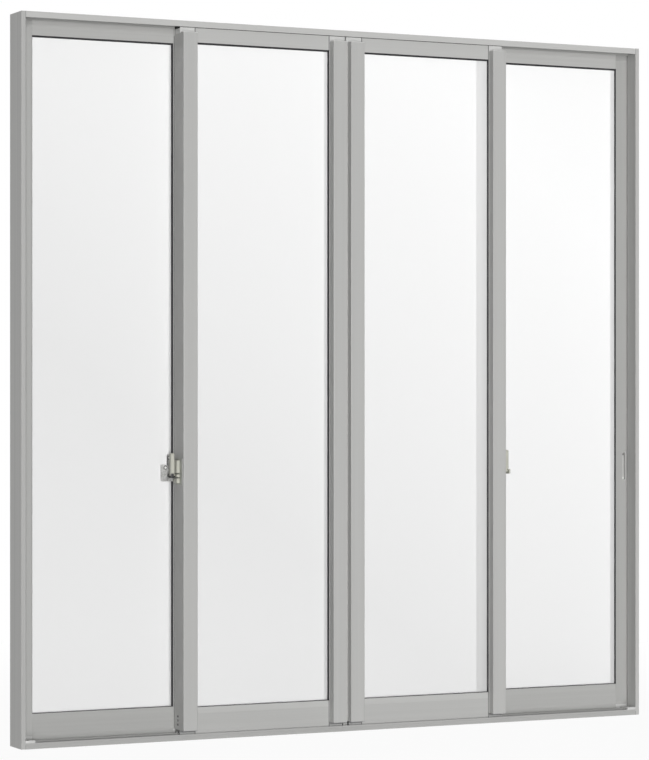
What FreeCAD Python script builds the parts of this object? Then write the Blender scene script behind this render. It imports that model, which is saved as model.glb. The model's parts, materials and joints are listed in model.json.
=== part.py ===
import FreeCAD, Part
import os

# Four-panel sliding patio door in aluminium: an outer frame with two tracks, two centre panels in the
# front track and two end panels in the rear track, each glazed with one sheet in a rubber gasket.
# Millimetres, +Z up. The origin is the middle of the sill's underside. The room is on the -Y side, and
# +X is to the right as seen from the room. The left half is modelled and the right half mirrors it.

# Overall size
OVERALL_WIDTH = 2160.0
OVERALL_HEIGHT = 2200.0

# Walls and clearances that several pieces share
WALL = 2.0
RUNNING_GAP = 5.0
ROLLER_GAP = 0.3

# Outer frame
JAMB_FACE = 13.5
JAMB_WEB = 4.0
JAMB_POCKET_GAP = 6.5
HEAD_WEB = 3.0
HEAD_LIP_HEIGHT = 18.4
SILL_HEIGHT = 12.0
TRACK_RISE = 10.0
TRACK_WIDTH = 3.0
TRACK_EDGE_RADIUS = 1.2

# Panels
PANEL_DEPTH = 36.0
PANEL_SPACING = 14.0
CENTRE_GAP = 5.0
CENTRE_PANEL_EXTRA = 8.2
JAMB_STILE_WIDTH = 44.1
MEETING_STILE_WIDTH = 50.0
MIDDLE_STILE_WIDTH = 54.6
END_STILE_LEAD = 1.6
TOP_RAIL_HEIGHT = 56.0
BOTTOM_RAIL_HEIGHT = 83.0
BEAD_HEIGHT = 20.0
BEAD_SLOPE = 1.5

# Handle fins along the front of the centre panels' stiles
FIN_WIDTH = 47.3
FIN_DEPTH = 27.5
FIN_EDGE_RADIUS = 2.0
MIDDLE_GROOVE = 14.0

# Interlock leg behind the centre panels' meeting stiles
INTERLOCK_THICKNESS = 3.0
INTERLOCK_HOOK = 14.0

# Plastic stile caps
CAP_HEIGHT = 30.0
CAP_CHAMFER = 2.0
FOOT_HEIGHT = 14.0

# Glazing
GLASS_THICKNESS = 6.0
GLASS_SETBACK = 8.0
GROOVE_WIDTH = 16.0
GROOVE_DEPTH = 12.0
GASKET_SIGHT = 4.0
GASKET_BED = 4.0

# Rollers
ROLLER_RADIUS = 12.0
ROLLER_WIDTH = 10.0
ROLLER_GROOVE_DEPTH = 2.0
ROLLER_SIDE_GAP = 1.0
ROLLER_INSET = 70.0
AXLE_RADIUS = 3.0
CHANNEL_HEADROOM = 2.0

# Crescent latch, measured from the meeting stile's outer side and the latch pivot
LATCH_HEIGHT = 809.0
PIVOT_SETBACK = 23.0
PIN_RADIUS = 3.0
PIN_GAP = 0.05
PIN_HEAD_RADIUS = 5.0
PIN_HEAD_THICKNESS = 2.0
BASE_THICKNESS = 2.0
BASE_FRONT = 42.0
BASE_BACK = 8.0
BASE_RISE = 52.0
BASE_DROP = 28.0
COVER_THICKNESS = 9.0
COVER_FRONT = 23.5
COVER_BACK = 4.0
COVER_MARGIN = 5.0
COVER_GAP = 2.5
BRIDGE_HEIGHT = 9.0
HUB_RADIUS = 5.5
HUB_GAP = 0.3
LEVER_GAP = 5.0
LEVER_THICKNESS = 12.0
LEVER_WIDTH = 15.0
LEVER_LENGTH = 69.0
LEVER_LEAD = 10.5
LEVER_CORNER_RADIUS = 5.0
CAM_THICKNESS = 5.0
CAM_HEIGHT = 14.0
CAM_DEPTH = 2.0
PLATE_CORNER_RADIUS = 3.0
LATCH_CHAMFER = 1.5

# Keeper plate on the end panels' meeting stiles
KEEPER_BAR = 9.0
KEEPER_RISE = 33.0
KEEPER_DROP = 18.0
KEEPER_CORNER_RADIUS = 5.0
KEEPER_STRIP_WIDTH = 20.0
KEEPER_STRIP_RISE = 65.0
KEEPER_SIDE_GAP = 5.0
KEEPER_END_GAP = 2.0

# Recessed finger pulls in the end panels' jamb stiles
PULL_WIDTH = 12.4
PULL_HEIGHT = 94.0
PULL_DEPTH = 10.0
PULL_WALL = 1.4
PULL_INSET = 6.8
PULL_CENTRE_HEIGHT = 820.0

# Stops on the sill
BUMPER_LENGTH = 31.0
BUMPER_HEIGHT = 13.0
BUMPER_DEPTH = 32.0
CENTRE_STOP_WIDTH = 14.0
CENTRE_STOP_HEIGHT = 14.0
STOP_CHAMFER = 2.0

# Places worked out from the sizes above
frame_depth = 2 * (WALL + RUNNING_GAP + PANEL_DEPTH) + PANEL_SPACING
front_face = -frame_depth / 2
rear_face = frame_depth / 2
half_width = OVERALL_WIDTH / 2
jamb_inside = -half_width + JAMB_FACE
pocket_inside = -half_width + JAMB_WEB
head_underside = OVERALL_HEIGHT - HEAD_WEB
lip_bottom = OVERALL_HEIGHT - HEAD_LIP_HEIGHT
track_top = SILL_HEIGHT + TRACK_RISE
track_offset = (PANEL_SPACING + PANEL_DEPTH) / 2

centre_front = -PANEL_SPACING / 2 - PANEL_DEPTH
end_front = PANEL_SPACING / 2
jamb_pocket_front = end_front - RUNNING_GAP

panel_bottom = SILL_HEIGHT + RUNNING_GAP
panel_top = head_underside - RUNNING_GAP
stile_bottom = panel_bottom + FOOT_HEIGHT
stile_top = panel_top - CAP_HEIGHT
sight_bottom = panel_bottom + BOTTOM_RAIL_HEIGHT
sight_top = panel_top - TOP_RAIL_HEIGHT

end_outer = pocket_inside + JAMB_POCKET_GAP
centre_inner = -CENTRE_GAP / 2
stile_overlap = MEETING_STILE_WIDTH - END_STILE_LEAD
meeting_plane = (end_outer + centre_inner - stile_overlap - CENTRE_PANEL_EXTRA) / 2
end_sight_right = meeting_plane - END_STILE_LEAD
end_inner = end_sight_right + MEETING_STILE_WIDTH
end_sight_left = end_outer + JAMB_STILE_WIDTH
centre_sight_left = meeting_plane + MEETING_STILE_WIDTH
centre_sight_right = centre_inner - MIDDLE_STILE_WIDTH

glazing_lip = GLASS_SETBACK + GLASS_THICKNESS / 2 - GROOVE_WIDTH / 2

axle_height = track_top + ROLLER_GAP + ROLLER_RADIUS - ROLLER_GROOVE_DEPTH
channel_top = axle_height + ROLLER_RADIUS + CHANNEL_HEADROOM

pivot_y = centre_front + PIVOT_SETBACK
cover_outside = BASE_THICKNESS + COVER_THICKNESS
lever_start = cover_outside + LEVER_GAP
lever_outside = lever_start + LEVER_THICKNESS
cam_radius = end_front + CAM_DEPTH - pivot_y
keeper_slot_near = lever_outside - CAM_THICKNESS - KEEPER_SIDE_GAP
keeper_slot_far = lever_outside + KEEPER_SIDE_GAP
keeper_far = keeper_slot_far + KEEPER_BAR
keeper_slot_half = (cam_radius ** 2 - (end_front - pivot_y) ** 2) ** 0.5 + KEEPER_END_GAP


def vector(x, y, z):
    return FreeCAD.Vector(x, y, z)


def block(xs, ys, zs):
    """Box between two X, two Y and two Z planes, given in either order."""
    low = vector(min(xs), min(ys), min(zs))
    return Part.makeBox(abs(xs[1] - xs[0]), abs(ys[1] - ys[0]), abs(zs[1] - zs[0]), low)


def rod_x(radius, xs, y, z):
    """Cylinder along X between two planes."""
    return Part.makeCylinder(radius, abs(xs[1] - xs[0]), vector(min(xs), y, z), vector(1, 0, 0))


def rod_y(radius, x, ys, z):
    """Cylinder along Y between two planes."""
    return Part.makeCylinder(radius, abs(ys[1] - ys[0]), vector(x, min(ys), z), vector(0, 1, 0))


def along_x(points, xs):
    """Prism along X from a closed outline of (y, z) points."""
    corners = [vector(xs[0], y, z) for y, z in points]
    return Part.Face(Part.makePolygon(corners + corners[:1])).extrude(vector(xs[1] - xs[0], 0, 0))


def round_edges(shape, radius, wanted):
    """Fillet the edges whose place the test accepts."""
    edges = [edge for edge in shape.Edges if wanted(edge)]
    return shape.makeFillet(radius, edges)


def chamfer_edges(shape, size, wanted):
    """Chamfer the edges whose place the test accepts."""
    edges = [edge for edge in shape.Edges if wanted(edge)]
    return shape.makeChamfer(size, edges)


def runs_along(edge, axis):
    """Whether a straight edge runs along one axis, 0 for X, 1 for Y and 2 for Z."""
    size = edge.BoundBox
    lengths = (size.XLength, size.YLength, size.ZLength)
    return all(lengths[other] < 1e-6 for other in range(3) if other != axis)


# Outer frame


def make_jamb():
    """Left jamb: a closed front tube, a web behind it and a rear lip that make the end panel's pocket."""
    zs = (0, OVERALL_HEIGHT)
    tube = block((-half_width, jamb_inside), (front_face, jamb_pocket_front), zs)
    chamber = block(
        (-half_width + WALL, jamb_inside - WALL), (front_face + WALL, jamb_pocket_front - WALL), zs
    )
    web = block((-half_width, pocket_inside), (jamb_pocket_front, rear_face), zs)
    lip = block((-half_width, jamb_inside), (rear_face - WALL, rear_face), zs)
    return tube.cut(chamber).multiFuse([web, lip]).removeSplitter()


def cope_to_jambs(rail):
    """Cut a head or sill that spans the pockets to fit round both jambs' tubes and rear lips."""
    heights = (0, OVERALL_HEIGHT)
    for side in (-1, 1):
        xs = (side * half_width, -side * jamb_inside)
        rail = rail.cut(block(xs, (front_face, jamb_pocket_front), heights))
        rail = rail.cut(block(xs, (rear_face - WALL, rear_face), heights))
    return rail


def make_head():
    """Head: a top web with a front lip, a divider between the two tracks and a rear lip."""
    xs = (pocket_inside, -pocket_inside)
    web = block(xs, (front_face, rear_face), (head_underside, OVERALL_HEIGHT))
    lip_starts = (front_face, -WALL / 2, rear_face - WALL)
    lips = [block(xs, (y, y + WALL), (lip_bottom, head_underside)) for y in lip_starts]
    return cope_to_jambs(web.multiFuse(lips).removeSplitter())


def make_track(y, xs):
    """Raised track with rounded top edges."""
    track = block(xs, (y - TRACK_WIDTH / 2, y + TRACK_WIDTH / 2), (SILL_HEIGHT, track_top))
    return round_edges(
        track, TRACK_EDGE_RADIUS, lambda edge: runs_along(edge, 0) and edge.BoundBox.ZMin > SILL_HEIGHT + 1e-6
    )


def make_sill():
    """Sill: a hollow base with a web under each of its two raised tracks."""
    xs = (pocket_inside, -pocket_inside)
    base = block(xs, (front_face, rear_face), (0, SILL_HEIGHT))
    walls = (
        (front_face + WALL, -track_offset - TRACK_WIDTH / 2),
        (-track_offset + TRACK_WIDTH / 2, track_offset - TRACK_WIDTH / 2),
        (track_offset + TRACK_WIDTH / 2, rear_face - WALL),
    )
    for ys in walls:
        base = base.cut(block(xs, ys, (WALL, SILL_HEIGHT - WALL)))
    tracks = [make_track(y, xs) for y in (-track_offset, track_offset)]
    return cope_to_jambs(base.multiFuse(tracks).removeSplitter())


def make_sill_stops():
    """Two end bumpers and a centre stop, saddled over the front track."""
    ys = (-track_offset - BUMPER_DEPTH / 2, -track_offset + BUMPER_DEPTH / 2)
    bumper_zs = (SILL_HEIGHT, SILL_HEIGHT + BUMPER_HEIGHT)
    centre_zs = (SILL_HEIGHT, SILL_HEIGHT + CENTRE_STOP_HEIGHT)
    stops = [
        block((jamb_inside, jamb_inside + BUMPER_LENGTH), ys, bumper_zs),
        block((-jamb_inside - BUMPER_LENGTH, -jamb_inside), ys, bumper_zs),
        block((-CENTRE_STOP_WIDTH / 2, CENTRE_STOP_WIDTH / 2), ys, centre_zs),
    ]
    track = make_track(-track_offset, (jamb_inside, -jamb_inside))
    upper = lambda edge: edge.BoundBox.ZMin > SILL_HEIGHT + 1e-6
    return Part.makeCompound([chamfer_edges(stop, STOP_CHAMFER, upper).cut(track) for stop in stops])


# Panel pieces


def groove_span(y_front):
    """Front and rear planes of a panel's glazing groove."""
    return y_front + glazing_lip, y_front + glazing_lip + GROOVE_WIDTH


def make_stile(x_back, x_glass, y_front):
    """Hollow stile with a glazing groove on its glass side."""
    side = 1 if x_glass > x_back else -1
    zs = (stile_bottom, stile_top)
    y_back = y_front + PANEL_DEPTH
    groove_front, groove_back = groove_span(y_front)
    body = block((x_back, x_glass), (y_front, y_back), zs)
    chamber = block((x_back + side * WALL, x_glass - side * WALL), (y_front + WALL, y_back - WALL), zs)
    glazing = block(
        (x_glass - side * (GROOVE_DEPTH + WALL), x_glass), (y_front, groove_back + WALL), zs
    )
    groove = block((x_glass - side * GROOVE_DEPTH, x_glass), (groove_front, groove_back), zs)
    return body.cut(chamber.cut(glazing)).cut(groove)


def add_fin(stile, xs, y_front):
    """Add a hollow handle fin with rounded front edges to a stile's front."""
    zs = (stile_bottom, stile_top)
    y_fin = y_front - FIN_DEPTH
    fin = block(xs, (y_fin, y_front), zs)
    fin = round_edges(
        fin, FIN_EDGE_RADIUS, lambda edge: runs_along(edge, 2) and edge.BoundBox.YMax < y_front - 1e-6
    )
    chamber = block((min(xs) + WALL, max(xs) - WALL), (y_fin + WALL, y_front), zs)
    return stile.fuse(fin.cut(chamber)).removeSplitter()


def add_interlock(stile, x_back, y_back):
    """Add the leg and hook that close the gap to the end panel behind."""
    zs = (stile_bottom, stile_top)
    y_hook = end_front - RUNNING_GAP
    leg = block((x_back, x_back + INTERLOCK_THICKNESS), (y_back, y_hook), zs)
    hook = block((x_back, x_back + INTERLOCK_HOOK), (y_hook - WALL, y_hook), zs)
    return stile.multiFuse([leg, hook]).removeSplitter()


def make_top_rail(xs, y_front):
    """Hollow top rail with its glazing groove underneath."""
    y_back = y_front + PANEL_DEPTH
    groove_front, groove_back = groove_span(y_front)
    body = block(xs, (y_front, y_back), (sight_top, panel_top))
    chamber = block(xs, (y_front + WALL, y_back - WALL), (sight_top + WALL, panel_top - WALL))
    glazing = block(xs, (y_front, groove_back + WALL), (sight_top, sight_top + GROOVE_DEPTH + WALL))
    groove = block(xs, (groove_front, groove_back), (sight_top, sight_top + GROOVE_DEPTH))
    return body.cut(chamber.cut(glazing)).cut(groove)


def make_bottom_rail(xs, y_front):
    """Bottom rail: sloped glazing bead on top, a closed chamber and an open roller channel below."""
    y_back = y_front + PANEL_DEPTH
    groove_front, groove_back = groove_span(y_front)
    outline = [
        (y_front, panel_bottom),
        (y_front, sight_bottom - BEAD_HEIGHT),
        (y_front + BEAD_SLOPE, sight_bottom),
        (y_back, sight_bottom),
        (y_back, panel_bottom),
    ]
    inside = (y_front + WALL, y_back - WALL)
    body = along_x(outline, xs)
    channel = block(xs, inside, (panel_bottom, channel_top))
    chamber = block(xs, inside, (channel_top + WALL, sight_bottom - WALL))
    glazing = block(xs, (y_front, groove_back + WALL), (sight_bottom - GROOVE_DEPTH - WALL, sight_bottom))
    groove = block(xs, (groove_front, groove_back), (sight_bottom - GROOVE_DEPTH, sight_bottom))
    return body.cut(channel).cut(chamber.cut(glazing)).cut(groove)


def make_glass(xs, y_front):
    """Glass sheet that reaches into the glazing grooves as far as the gasket's bed."""
    reach = GROOVE_DEPTH - GASKET_BED
    ys = (y_front + GLASS_SETBACK, y_front + GLASS_SETBACK + GLASS_THICKNESS)
    return block((xs[0] - reach, xs[1] + reach), ys, (sight_bottom - reach, sight_top + reach))


def make_gasket(xs, y_front):
    """Rubber channel all round the glass, filling the glazing grooves and showing past their edges."""
    ys = groove_span(y_front)

    def sight_block(beyond):
        """Box over the sight opening, wider and taller by a distance on every side."""
        return block((xs[0] - beyond, xs[1] + beyond), ys, (sight_bottom - beyond, sight_top + beyond))

    return sight_block(GROOVE_DEPTH).cut(sight_block(-GASKET_SIGHT)).cut(make_glass(xs, y_front))


def make_rollers(xs, y_front):
    """Two grooved wheels on axles that span the bottom rail's roller channel."""
    middle = y_front + PANEL_DEPTH / 2
    axle_ys = (y_front + WALL, y_front + PANEL_DEPTH - WALL)
    wheel_ys = (middle - ROLLER_WIDTH / 2, middle + ROLLER_WIDTH / 2)
    groove_half = TRACK_WIDTH / 2 + ROLLER_SIDE_GAP
    groove_ys = (middle - groove_half, middle + groove_half)
    rollers = []
    for x in (xs[0] + ROLLER_INSET, xs[1] - ROLLER_INSET):
        wheel = rod_y(ROLLER_RADIUS, x, wheel_ys, axle_height)
        rim = rod_y(ROLLER_RADIUS, x, groove_ys, axle_height)
        core = rod_y(ROLLER_RADIUS - ROLLER_GROOVE_DEPTH, x, groove_ys, axle_height)
        axle = rod_y(AXLE_RADIUS, x, axle_ys, axle_height)
        rollers.append(wheel.cut(rim.cut(core)).fuse(axle).removeSplitter())
    return Part.makeCompound(rollers)


def make_cap(xs, y_front):
    """Plastic cap on a stile's top end, chamfered round its top."""
    cap = block(xs, (y_front, y_front + PANEL_DEPTH), (stile_top, panel_top))
    return chamfer_edges(cap, CAP_CHAMFER, lambda edge: edge.BoundBox.ZMin > panel_top - 1e-6)


def make_foot(xs, y_front):
    """Plastic foot under a stile, bridged over the track."""
    middle = y_front + PANEL_DEPTH / 2
    half = TRACK_WIDTH / 2 + RUNNING_GAP
    foot = block(xs, (y_front, y_front + PANEL_DEPTH), (panel_bottom, stile_bottom))
    return foot.cut(block(xs, (middle - half, middle + half), (panel_bottom, track_top + RUNNING_GAP)))


# Latch, keeper and finger pull


def outward(distance):
    """X of a plane this far out from the left meeting stile's outer side."""
    return meeting_plane - distance


def latch_xs(start, thickness):
    """Two X planes of a latch piece, by its start and thickness outward from the stile."""
    return outward(start), outward(start + thickness)


def make_latch_base():
    """Latch base: plate on the stile, two screw covers with a bridge between them and a headed pivot pin."""
    ys = (pivot_y - BASE_FRONT, pivot_y + BASE_BACK)
    top = LATCH_HEIGHT + BASE_RISE
    bottom = LATCH_HEIGHT - BASE_DROP
    plate = block(latch_xs(0, BASE_THICKNESS), ys, (bottom, top))
    plate = round_edges(plate, PLATE_CORNER_RADIUS, lambda edge: runs_along(edge, 0))
    cover_ys = (pivot_y - COVER_FRONT, pivot_y + COVER_BACK)
    hub_room = HUB_RADIUS + COVER_GAP
    upper_zs = (LATCH_HEIGHT + hub_room, top - COVER_MARGIN)
    lower_zs = (bottom + COVER_MARGIN, LATCH_HEIGHT - hub_room)
    bridge_ys = (cover_ys[0], pivot_y - hub_room)
    bridge_zs = (LATCH_HEIGHT - BRIDGE_HEIGHT / 2, LATCH_HEIGHT + BRIDGE_HEIGHT / 2)
    outer = lambda edge: edge.BoundBox.XMin < outward(BASE_THICKNESS) - 1e-6
    pieces = []
    for housing in ((cover_ys, upper_zs), (cover_ys, lower_zs), (bridge_ys, bridge_zs)):
        cover = block(latch_xs(BASE_THICKNESS, COVER_THICKNESS), *housing)
        pieces.append(chamfer_edges(cover, LATCH_CHAMFER, outer))
    head_start = lever_outside + HUB_GAP
    pieces.append(rod_x(PIN_RADIUS, (outward(BASE_THICKNESS), outward(head_start)), pivot_y, LATCH_HEIGHT))
    pieces.append(rod_x(PIN_HEAD_RADIUS, latch_xs(head_start, PIN_HEAD_THICKNESS), pivot_y, LATCH_HEIGHT))
    return plate.multiFuse(pieces).removeSplitter()


def make_latch_lever():
    """Latch lever: hub on the pivot pin, crescent cam towards the room and a rounded handle up from the cam."""
    xs = latch_xs(lever_start, LEVER_THICKNESS)
    hub_xs = (outward(BASE_THICKNESS + HUB_GAP), outward(lever_outside))
    hub = rod_x(HUB_RADIUS, hub_xs, pivot_y, LATCH_HEIGHT)
    handle_y = pivot_y - LEVER_LEAD
    handle_ys = (handle_y - LEVER_WIDTH / 2, handle_y + LEVER_WIDTH / 2)
    handle = block(xs, handle_ys, (LATCH_HEIGHT, LATCH_HEIGHT + LEVER_LENGTH))
    above_pivot = lambda edge: edge.BoundBox.ZMax > LATCH_HEIGHT + 1e-6
    top_corners = lambda edge: runs_along(edge, 0) and above_pivot(edge)
    handle = round_edges(handle, LEVER_CORNER_RADIUS, top_corners)
    rim = lambda edge: edge.BoundBox.XLength < 1e-6 and above_pivot(edge)
    handle = chamfer_edges(handle, LATCH_CHAMFER, rim)
    cam_xs = latch_xs(lever_outside - CAM_THICKNESS, CAM_THICKNESS)
    disc = rod_x(cam_radius, cam_xs, pivot_y, LATCH_HEIGHT)
    cam_zs = (LATCH_HEIGHT - CAM_HEIGHT / 2, LATCH_HEIGHT + CAM_HEIGHT / 2)
    sector = block(cam_xs, (pivot_y - cam_radius, pivot_y), cam_zs)
    bore = rod_x(PIN_RADIUS + PIN_GAP, hub_xs, pivot_y, LATCH_HEIGHT)
    return hub.multiFuse([handle, disc.common(sector)]).cut(bore).removeSplitter()


def make_keeper():
    """Keeper on the end panel's meeting stile, as thick as its lip: a tall strip and a slotted plate."""
    ys = (end_front, end_front + glazing_lip)
    bottom = LATCH_HEIGHT - KEEPER_DROP
    strip_far = end_sight_right - KEEPER_STRIP_WIDTH
    strip = block((strip_far, end_sight_right), ys, (bottom, LATCH_HEIGHT + KEEPER_STRIP_RISE))
    plate = block((outward(keeper_far), end_sight_right), ys, (bottom, LATCH_HEIGHT + KEEPER_RISE))
    far_corners = lambda edge: runs_along(edge, 1) and edge.BoundBox.XMax < strip_far + 1e-6
    strip_corner = lambda edge: far_corners(edge) and edge.BoundBox.ZMin > bottom + 1e-6
    strip = round_edges(strip, KEEPER_CORNER_RADIUS, strip_corner)
    plate = round_edges(plate, KEEPER_CORNER_RADIUS, far_corners)
    slot_zs = (LATCH_HEIGHT - keeper_slot_half, LATCH_HEIGHT + keeper_slot_half)
    slot = block((outward(keeper_slot_far), outward(keeper_slot_near)), ys, slot_zs)
    return plate.fuse(strip).cut(slot).removeSplitter()


def pull_outline(inset, ys):
    """Slot shape of the finger pull with round ends, drawn in on each side by an inset."""
    middle = end_outer + PULL_INSET + PULL_WIDTH / 2
    radius = PULL_WIDTH / 2 - inset
    straight = PULL_HEIGHT / 2 - PULL_WIDTH / 2
    zs = (PULL_CENTRE_HEIGHT - straight, PULL_CENTRE_HEIGHT + straight)
    ends = [rod_y(radius, middle, ys, z) for z in zs]
    return block((middle - radius, middle + radius), ys, zs).multiFuse(ends).removeSplitter()


def make_finger_pull():
    """Recessed cup for the fingers, set into the jamb stile's front."""
    back = end_front + PULL_DEPTH
    cup = pull_outline(0, (end_front, back))
    return cup.cut(pull_outline(PULL_WALL, (end_front, back - PULL_WALL)))


# Whole panels of the left half


def make_panel_pieces(x_outer, sight, x_inner, y_front, foot_inner):
    """Pieces that both kinds of panel have, by their short names."""
    stile_spans = ((x_outer, sight[0]), (sight[1], x_inner))
    foot_spans = ((x_outer, sight[0]), (sight[1], foot_inner))
    caps = [make_cap(xs, y_front) for xs in stile_spans]
    feet = [make_foot(xs, y_front) for xs in foot_spans]
    return {
        "top_rail": make_top_rail(sight, y_front),
        "bottom_rail": make_bottom_rail(sight, y_front),
        "glass": make_glass(sight, y_front),
        "gasket": make_gasket(sight, y_front),
        "rollers": make_rollers(sight, y_front),
        "stile_caps": Part.makeCompound(caps + feet),
    }


def make_end_panel():
    """End panel: jamb stile with its finger pull, meeting stile with its keeper, rails and glass."""
    sight = (end_sight_left, end_sight_right)
    pieces = make_panel_pieces(end_outer, sight, end_inner, end_front, end_inner)
    jamb_stile = make_stile(end_outer, end_sight_left, end_front)
    pieces["jamb_stile"] = jamb_stile.cut(pull_outline(0, (end_front, end_front + PULL_DEPTH)))
    pieces["meeting_stile"] = make_stile(end_inner, end_sight_right, end_front)
    pieces["finger_pull"] = make_finger_pull()
    pieces["keeper"] = make_keeper()
    return {"end_" + name: shape for name, shape in pieces.items()}


def make_centre_panel():
    """Centre panel: meeting stile with fin, interlock and latch, middle stile with fin, rails and glass."""
    sight = (centre_sight_left, centre_sight_right)
    foot_inner = -CENTRE_STOP_WIDTH / 2 - RUNNING_GAP
    pieces = make_panel_pieces(meeting_plane, sight, centre_inner, centre_front, foot_inner)
    meeting = make_stile(meeting_plane, centre_sight_left, centre_front)
    meeting = add_fin(meeting, (meeting_plane, meeting_plane + FIN_WIDTH), centre_front)
    pieces["meeting_stile"] = add_interlock(meeting, meeting_plane, centre_front + PANEL_DEPTH)
    middle = make_stile(centre_inner, centre_sight_right, centre_front)
    fin_inner = -MIDDLE_GROOVE / 2
    pieces["middle_stile"] = add_fin(middle, (fin_inner - FIN_WIDTH, fin_inner), centre_front)
    pieces["latch_base"] = make_latch_base()
    pieces["latch_lever"] = make_latch_lever()
    return {"centre_" + name: shape for name, shape in pieces.items()}


def mirrored(shape):
    """The same piece on the other half of the door."""
    return shape.mirror(vector(0, 0, 0), vector(1, 0, 0))


def make_nodes():
    """Every piece of the door by its node's name."""
    jamb = make_jamb()
    nodes = {
        "head": make_head(),
        "sill": make_sill(),
        "left_jamb": jamb,
        "right_jamb": mirrored(jamb),
        "sill_stops": make_sill_stops(),
    }
    for name, shape in {**make_end_panel(), **make_centre_panel()}.items():
        nodes["left_" + name] = shape
        nodes["right_" + name] = mirrored(shape)
    return nodes


os.makedirs("parts", exist_ok=True)
for node_name, node_shape in make_nodes().items():
    node_shape.exportStep("parts/" + node_name + ".step")
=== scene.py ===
import json
import math

import bmesh
import bpy
import numpy as np
from bpy.props import FloatProperty, FloatVectorProperty, PointerProperty
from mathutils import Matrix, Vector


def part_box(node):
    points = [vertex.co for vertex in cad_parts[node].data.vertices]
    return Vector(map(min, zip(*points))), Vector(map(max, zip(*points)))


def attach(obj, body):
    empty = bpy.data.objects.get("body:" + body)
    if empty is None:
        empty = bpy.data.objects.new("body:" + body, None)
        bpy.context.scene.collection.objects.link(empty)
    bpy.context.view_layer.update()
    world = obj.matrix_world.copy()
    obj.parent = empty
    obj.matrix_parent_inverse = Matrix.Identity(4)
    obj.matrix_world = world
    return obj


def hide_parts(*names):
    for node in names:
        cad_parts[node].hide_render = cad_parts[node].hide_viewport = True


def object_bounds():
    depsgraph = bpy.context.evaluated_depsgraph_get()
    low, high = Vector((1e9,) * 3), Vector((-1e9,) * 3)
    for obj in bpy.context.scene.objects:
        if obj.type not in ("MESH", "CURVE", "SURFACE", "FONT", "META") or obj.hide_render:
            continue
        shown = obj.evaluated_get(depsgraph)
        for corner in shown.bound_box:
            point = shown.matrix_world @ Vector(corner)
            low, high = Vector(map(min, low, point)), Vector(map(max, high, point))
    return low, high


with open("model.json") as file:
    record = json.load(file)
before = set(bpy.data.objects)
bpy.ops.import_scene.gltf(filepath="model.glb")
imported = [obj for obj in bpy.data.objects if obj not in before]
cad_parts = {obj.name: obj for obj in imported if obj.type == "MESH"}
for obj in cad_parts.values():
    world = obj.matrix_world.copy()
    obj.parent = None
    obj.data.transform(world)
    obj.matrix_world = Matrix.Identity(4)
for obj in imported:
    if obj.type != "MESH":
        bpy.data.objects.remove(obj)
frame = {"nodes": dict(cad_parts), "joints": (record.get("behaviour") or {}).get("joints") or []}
CAD_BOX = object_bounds()

bl_info = {
    "name": "Sliding Patio Door",
    "version": (1, 0, 0),
    "blender": (4, 5, 0),
    "location": "View3D > Sidebar > Patio Door",
    "description": "Finishes, glazing, seals and screws of a four-panel sliding patio door, and its studio",
    "category": "Object",
}

# Dresses the door's solids in satin aluminium, plastic and paint, and replaces its glass and gaskets by finer
# ones. Adds what the solids leave out: pile strips, the bulb seal, sealant, the sill's water bar, fin plugs,
# bumper noses, screws, and the keepers' rims, strips and cups. Metres, +Z up, and the room side faces -Y.
# Most places come from the solids' own boxes, and the tones are fitted to the photograph.
# Part of the tones is painted light and shade, as marked where each is set.

X_AXIS, Y_AXIS, Z_AXIS = range(3)
ROOM_SIDE = -math.pi / 2.0
SIDES = {"left": -1.0, "right": 1.0}
PLACES = ("end", "centre")
PANELS = [f"{side}_{place}" for side in SIDES for place in PLACES]
JAMBS = ("left_jamb", "right_jamb")
LEVELS = ("head", "sill")
UPRIGHTS = ("jamb_stile", "meeting_stile", "middle_stile")
RAILS = ("top_rail", "bottom_rail")

# Sizes of the solids that their boxes don't give
WALL = 0.002
TRACK_RISE = 0.01
FIN_WIDTH = 0.0473
FIN_DEPTH = 0.0275
FIN_INSET = 0.0045
BUMPER_LENGTH = 0.031
PULL_WALL = 0.0014
CAM_THICKNESS = 0.005
KEEPER_SIDE_GAP = 0.005
KEEPER_SLOT_HALF_HEIGHT = 0.0126

# Foot and top of the sill's water bar
WATER_BAR = (0.0115, 0.0185)

# Y, Z and turn of the screws on a stile's outer side, and X, Z and turn of those on a keeper
STILE_SCREWS = ((-0.0275, 0.072, 0.8), (-0.0275, 0.0595, 0.5), (-0.0275, 0.047, 1.2), (-0.0375, 0.024, 0.2))
KEEPER_SCREWS = ((0.5915, 0.833, 0.3), (0.5785, 0.863, 0.9))

# Shares of the gasket's lip that show at the left and right of each pane, fitted to the photograph
LIP_SHARES = {
    "left_end": (0.3, 1.5),
    "left_centre": (1.0, 0.85),
    "right_centre": (1.0, 0.5),
    "right_end": (1.0, 0.5),
}

# Usual range of a noise, how uneven the piles' tips are, and the bounds of all that is low on the door
NOISE = (0.25, 0.75)
TIP_DEPTH = 0.0003
LOWER_HALF = {Z_AXIS: (0.0, 1.0)}

# Bounds and tones of the aluminium, as make_aluminium takes them. The tones are painted light and shade:
# the metal gets lighter or darker upwards and to the right as light falls on it, not as it differs.
FIN_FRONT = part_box("left_centre_middle_stile")[0][Y_AXIS]
# Painted highlight: the bottom rails' sloped bead made lighter, as if it caught more light
BEAD_BOUNDS = {Z_AXIS: (0.0797, 0.101)}
# Painted light: the groove between the centre panels' fins made lighter, against its shade
GROOVE_BOUNDS = {X_AXIS: (0.0, 0.008), Y_AXIS: (FIN_FRONT + 0.001, 0.0)}
# Painted light on the rear panels' fronts near the sill and the head, where they lie in shade
POCKET_PAINTED_LIGHT = (1.35, 1.25)
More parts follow.
